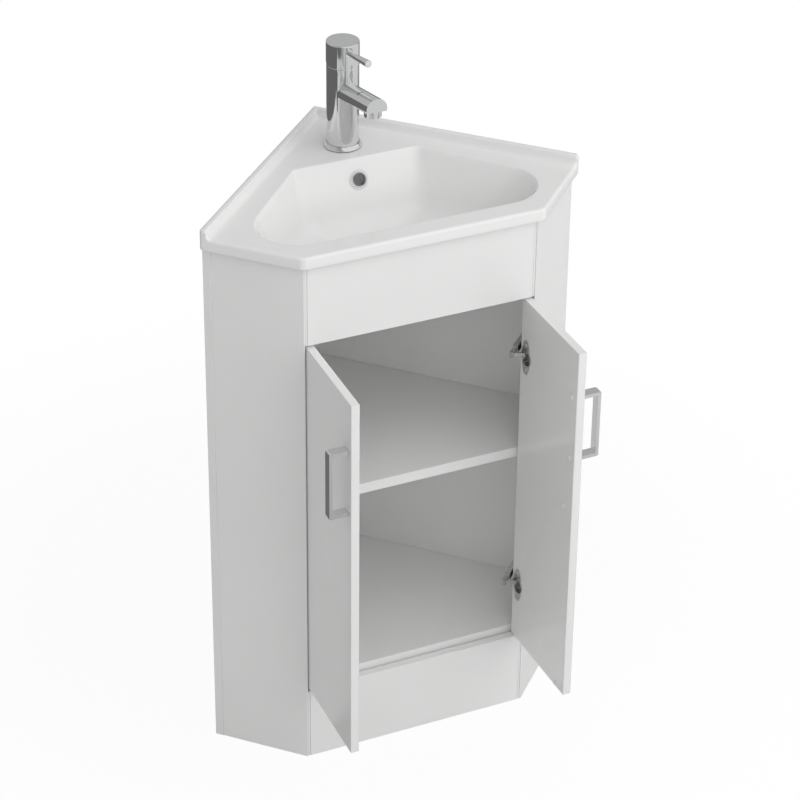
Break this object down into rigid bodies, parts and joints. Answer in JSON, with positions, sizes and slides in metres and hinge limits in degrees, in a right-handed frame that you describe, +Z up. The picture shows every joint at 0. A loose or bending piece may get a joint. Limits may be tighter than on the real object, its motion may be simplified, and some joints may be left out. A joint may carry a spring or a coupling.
{
  "type": "corner vanity unit",
  "caption": "Five-sided floor-standing corner bathroom cabinet with a ceramic basin, a pin-lever mixer tap, a click waste and two doors on concealed hinges over a shelf.",
  "frame": {"origin": "corner of the room at floor level, where the two back panels' outer planes meet the floor", "axes": "+Z up, front towards -Y, +X to the right as seen from the front; the walls run at 45 degrees"},
  "size_m": [0.555, 0.5266, 0.9872],
  "materials": {
    "panel_white": "satin white melamine on board",
    "front_white": "gloss white lacquer on board",
    "ceramic": "white glaze",
    "chrome": "polished",
    "hinge_steel": "nickel plated",
    "rubber": "matt black",
    "bumper_clear": "pale soft plastic",
    "cartridge_plastic": "moulded",
    "brass": "machined"
  },
  "bodies": {
    "cabinet": {"right_side_panel": "panel_white", "left_side_panel": "panel_white", "right_back_panel": "panel_white", "left_back_panel": "panel_white", "base_panel": "panel_white", "shelf": "panel_white", "fascia": "front_white", "plinth": "front_white", "right_wall_rail": "panel_white", "left_wall_rail": "panel_white", "fixing_blocks": "panel_white", "shelf_pegs": "hinge_steel", "left_upper_hinge_arm": "hinge_steel", "left_lower_hinge_arm": "hinge_steel", "right_upper_hinge_arm": "hinge_steel", "right_lower_hinge_arm": "hinge_steel", "hinge_plates": "hinge_steel", "hinge_plate_screws": "hinge_steel", "hinge_arm_screws": "hinge_steel", "hinge_arm_pins": "hinge_steel", "basin": "ceramic", "overflow_ring": "chrome", "waste_body": "chrome", "waste_upper_seal": "rubber", "waste_lower_seal": "rubber", "waste_backnut": "brass", "tap_body": "chrome", "tap_base_ring": "chrome", "tap_gasket": "rubber", "tap_aerator": "chrome", "tap_cartridge": "cartridge_plastic", "tap_stud": "hinge_steel", "tap_clamp_washer": "rubber", "tap_nut": "hinge_steel"},
    "left_door": {"left_door": "front_white", "left_handle": "chrome", "left_handle_screws": "hinge_steel", "left_door_bumpers": "bumper_clear", "left_upper_hinge_cup": "hinge_steel", "left_lower_hinge_cup": "hinge_steel", "left_cup_pins": "hinge_steel", "left_cup_screws": "hinge_steel"},
    "right_door": {"right_door": "front_white", "right_handle": "chrome", "right_handle_screws": "hinge_steel", "right_door_bumpers": "bumper_clear", "right_upper_hinge_cup": "hinge_steel", "right_lower_hinge_cup": "hinge_steel", "right_cup_pins": "hinge_steel", "right_cup_screws": "hinge_steel"},
    "left_links": {"left_upper_hinge_link": "hinge_steel", "left_lower_hinge_link": "hinge_steel"},
    "right_links": {"right_upper_hinge_link": "hinge_steel", "right_lower_hinge_link": "hinge_steel"},
    "plug": {"waste_plug": "chrome"},
    "tap_turn": {"tap_carrier": "chrome", "tap_pivot_pin": "hinge_steel"},
    "tap_lever": {"tap_head": "chrome", "tap_lever_pin": "chrome", "tap_spindle": "hinge_steel"}
  },
  "joints": [
    {"name": "left_door_hinge", "type": "hinge", "parent": "cabinet", "child": "left_door", "pos_m": [-0.16111, -0.36694, 0.4], "axis": [0, 0, 1], "range_deg": [-4.2, 90.8]},
    {"name": "right_door_hinge", "type": "hinge", "parent": "cabinet", "child": "right_door", "pos_m": [0.16111, -0.36694, 0.4], "axis": [0, 0, -1], "range_deg": [-4.2, 90.8]},
    {"name": "left_link_turn", "type": "hinge", "parent": "cabinet", "child": "left_links", "pos_m": [-0.14006, -0.36481, 0.405], "axis": [0, 0, 1], "range_deg": [-30.5, 2]},
    {"name": "right_link_turn", "type": "hinge", "parent": "cabinet", "child": "right_links", "pos_m": [0.14006, -0.36481, 0.405], "axis": [0, 0, -1], "range_deg": [-30.5, 2]},
    {"name": "plug_click", "type": "slide", "parent": "cabinet", "child": "plug", "axis": [0, 0, 1], "range_m": [0, 0.008]},
    {"name": "lever_turn", "type": "hinge", "parent": "cabinet", "child": "tap_turn", "pos_m": [0, -0.104, 0.95], "axis": [0, 0, 1], "range_deg": [-45, 45]},
    {"name": "lever_lift", "type": "hinge", "parent": "tap_turn", "child": "tap_lever", "pos_m": [0, -0.104, 0.95], "axis": [-1, 0, 0], "range_deg": [0, 22]}
  ],
  "couplings": [
    {"joint": "left_link_turn", "follows": "left_door_hinge", "ratio": -0.332},
    {"joint": "right_link_turn", "follows": "right_door_hinge", "ratio": -0.332}
  ]
}
